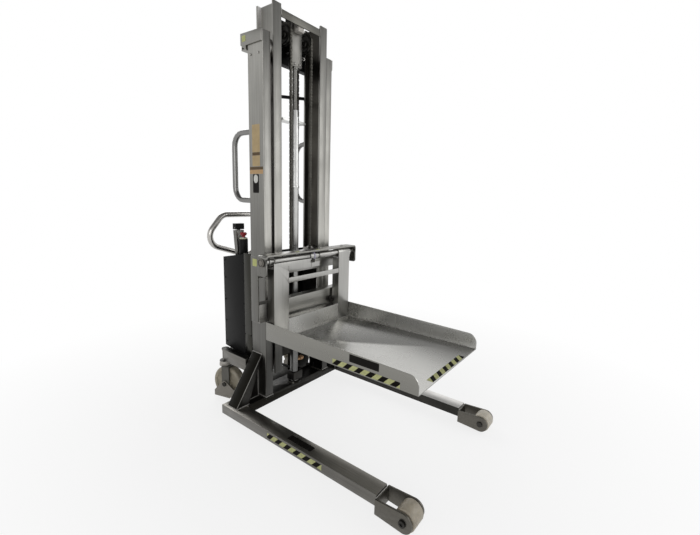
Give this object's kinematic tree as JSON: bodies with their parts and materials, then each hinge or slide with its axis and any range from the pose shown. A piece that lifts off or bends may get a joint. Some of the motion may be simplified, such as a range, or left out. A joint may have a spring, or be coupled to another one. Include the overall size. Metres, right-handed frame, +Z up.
{
  "type": "straddle stacker",
  "caption": "Straddle stacker with a two-stage chain-lift mast, a shaft-hung load tray on a carriage, straddle legs, rear casters and a looped push handle.",
  "frame": {"origin": "on the floor under the middle of the outline", "axes": "+X to the machine's right as seen from in front of the tray looking back, legs and tray towards -Y, +Z up"},
  "size_m": [0.836, 1.425, 1.965],
  "materials": {
    "stainless_steel": "satin, fine brushing",
    "dark_steel": "oiled",
    "polished_steel": "polished",
    "black_paint": "semi-gloss",
    "black_iron": "painted, oiled",
    "black_plastic": "matte",
    "red_plastic": "gloss",
    "nylon": "smooth",
    "hose_rubber": "matte",
    "battery_case": "matte",
    "pump_housing": "satin"
  },
  "bodies": {
    "chassis": {"leg_left": "stainless_steel", "leg_right": "stainless_steel", "roller_fork_left": "stainless_steel", "roller_fork_right": "stainless_steel", "cross_beam": "stainless_steel", "outer_mast_left": "stainless_steel", "outer_mast_right": "stainless_steel", "mast_top_beam": "stainless_steel", "rear_tie_upper": "black_paint", "rear_beam": "black_paint", "brace_left": "stainless_steel", "brace_right": "stainless_steel", "lift_cylinder": "stainless_steel", "rear_arm_left": "stainless_steel", "rear_arm_right": "stainless_steel", "corner_strip_left": "stainless_steel", "corner_strip_right": "stainless_steel", "power_cover": "black_paint", "battery": "battery_case", "pump_unit": "pump_housing", "hydraulic_hose": "hose_rubber", "grip_left": "polished_steel", "grip_right": "polished_steel", "push_handle": "polished_steel", "control_post": "stainless_steel", "stop_housing": "black_plastic", "chassis_fasteners": "dark_steel", "chain_back": "dark_steel"},
    "stop_button": {"stop_button": "red_plastic"},
    "control_rocker": {"control_rocker": "black_plastic"},
    "caster_left": {"caster_fork_left": "stainless_steel", "caster_guard_left": "stainless_steel"},
    "caster_right": {"caster_fork_right": "stainless_steel", "caster_guard_right": "stainless_steel"},
    "caster_wheel_left": {"caster_wheel_left": "nylon"},
    "caster_wheel_right": {"caster_wheel_right": "nylon"},
    "load_roller_left": {"load_roller_left": "nylon"},
    "load_roller_right": {"load_roller_right": "nylon"},
    "outer_rollers": {"outer_mast_rollers": "dark_steel"},
    "inner_mast": {"inner_mast_left": "stainless_steel", "inner_mast_right": "stainless_steel", "inner_crossbar": "stainless_steel", "inner_lower_tie": "stainless_steel", "crosshead": "black_paint", "piston_rod": "polished_steel", "chain_front": "dark_steel", "chain_wraps": "dark_steel"},
    "pulley_left": {"chain_pulley_left": "black_iron"},
    "pulley_right": {"chain_pulley_right": "black_iron"},
    "inner_rollers": {"inner_mast_rollers": "dark_steel"},
    "carriage": {"carriage_frame": "stainless_steel", "carriage_side_left": "stainless_steel", "carriage_side_right": "stainless_steel", "carriage_top_plate": "stainless_steel", "fork_shaft": "polished_steel"},
    "carriage_rollers_upper": {"carriage_rollers_upper": "dark_steel"},
    "carriage_rollers_lower": {"carriage_rollers_lower": "dark_steel"},
    "platform": {"platform_frame": "stainless_steel", "shaft_clamp": "stainless_steel", "platform_tray": "stainless_steel"}
  },
  "joints": [
    {"name": "mast_lift", "type": "slide", "parent": "chassis", "child": "inner_mast", "axis": [0, 0, 1], "range_m": [-0.108, 0.95], "deforming": ["chain_back"]},
    {"name": "carriage_lift", "type": "slide", "parent": "inner_mast", "child": "carriage", "axis": [0, 0, 1], "range_m": [-0.108, 0.95], "deforming": ["chain_front"]},
    {"name": "platform_tip", "type": "hinge", "parent": "carriage", "child": "platform", "pos_m": [0, 0.15, 0.81], "axis": [-1, 0, 0], "range_deg": [0, 75]},
    {"name": "pulley_left_spin", "type": "hinge", "parent": "inner_mast", "child": "pulley_left", "pos_m": [-0.068, 0.286, 1.866], "axis": [1, 0, 0], "range_deg": [-1180, 175]},
    {"name": "pulley_right_spin", "type": "hinge", "parent": "inner_mast", "child": "pulley_right", "pos_m": [0.068, 0.286, 1.866], "axis": [1, 0, 0], "range_deg": [-1180, 175]},
    {"name": "outer_rollers_spin", "type": "hinge", "parent": "chassis", "child": "outer_rollers", "pos_m": [0, 0.2925, 1.77], "axis": [1, 0, 0], "range_deg": [-170, 1140]},
    {"name": "inner_rollers_spin", "type": "hinge", "parent": "inner_mast", "child": "inner_rollers", "pos_m": [0, 0.2965, 0.254], "axis": [1, 0, 0], "range_deg": [-1215, 180]},
    {"name": "carriage_rollers_upper_spin", "type": "hinge", "parent": "carriage", "child": "carriage_rollers_upper", "pos_m": [0, 0.2925, 0.79], "axis": [1, 0, 0], "range_deg": [-170, 1140]},
    {"name": "carriage_rollers_lower_spin", "type": "hinge", "parent": "carriage", "child": "carriage_rollers_lower", "pos_m": [0, 0.2925, 0.6], "axis": [1, 0, 0], "range_deg": [-1140, 170]},
    {"name": "caster_left_swivel", "type": "hinge", "parent": "chassis", "child": "caster_left", "pos_m": [-0.25, 0.56, 0.19], "axis": [0, 0, 1], "continuous": true},
    {"name": "caster_right_swivel", "type": "hinge", "parent": "chassis", "child": "caster_right", "pos_m": [0.25, 0.56, 0.19], "axis": [0, 0, 1], "continuous": true},
    {"name": "caster_left_roll", "type": "hinge", "parent": "caster_left", "child": "caster_wheel_left", "pos_m": [-0.24353, 0.53585, 0.09], "axis": [0.9659, 0.2588, 0], "continuous": true},
    {"name": "caster_right_roll", "type": "hinge", "parent": "caster_right", "child": "caster_wheel_right", "pos_m": [0.25647, 0.53585, 0.09], "axis": [0.9659, 0.2588, 0], "continuous": true},
    {"name": "load_roller_left_roll", "type": "hinge", "parent": "chassis", "child": "load_roller_left", "pos_m": [-0.366, -0.67, 0.041], "axis": [1, 0, 0], "continuous": true},
    {"name": "load_roller_right_roll", "type": "hinge", "parent": "chassis", "child": "load_roller_right", "pos_m": [0.366, -0.67, 0.041], "axis": [1, 0, 0], "continuous": true},
    {"name": "stop_button_press", "type": "slide", "parent": "chassis", "child": "stop_button", "axis": [0, 0, 1], "range_m": [-0.006, 0], "stiffness_N_per_m": 400, "springref_m": 0.002},
    {"name": "control_rock", "type": "hinge", "parent": "chassis", "child": "control_rocker", "pos_m": [-0.163, 0.542, 0.934], "axis": [1, 0, 0], "range_deg": [-12, 12], "stiffness_Nm_per_rad": 0.6}
  ],
  "couplings": [
    {"joint": "carriage_lift", "follows": "mast_lift", "ratio": 1},
    {"joint": "pulley_left_spin", "follows": "mast_lift", "rad_per_m": -21.505},
    {"joint": "pulley_right_spin", "follows": "mast_lift", "rad_per_m": -21.505},
    {"joint": "outer_rollers_spin", "follows": "mast_lift", "rad_per_m": 20.534},
    {"joint": "inner_rollers_spin", "follows": "mast_lift", "rad_per_m": -22.124},
    {"joint": "carriage_rollers_upper_spin", "follows": "mast_lift", "rad_per_m": 20.534},
    {"joint": "carriage_rollers_lower_spin", "follows": "mast_lift", "rad_per_m": -20.534}
  ]
}
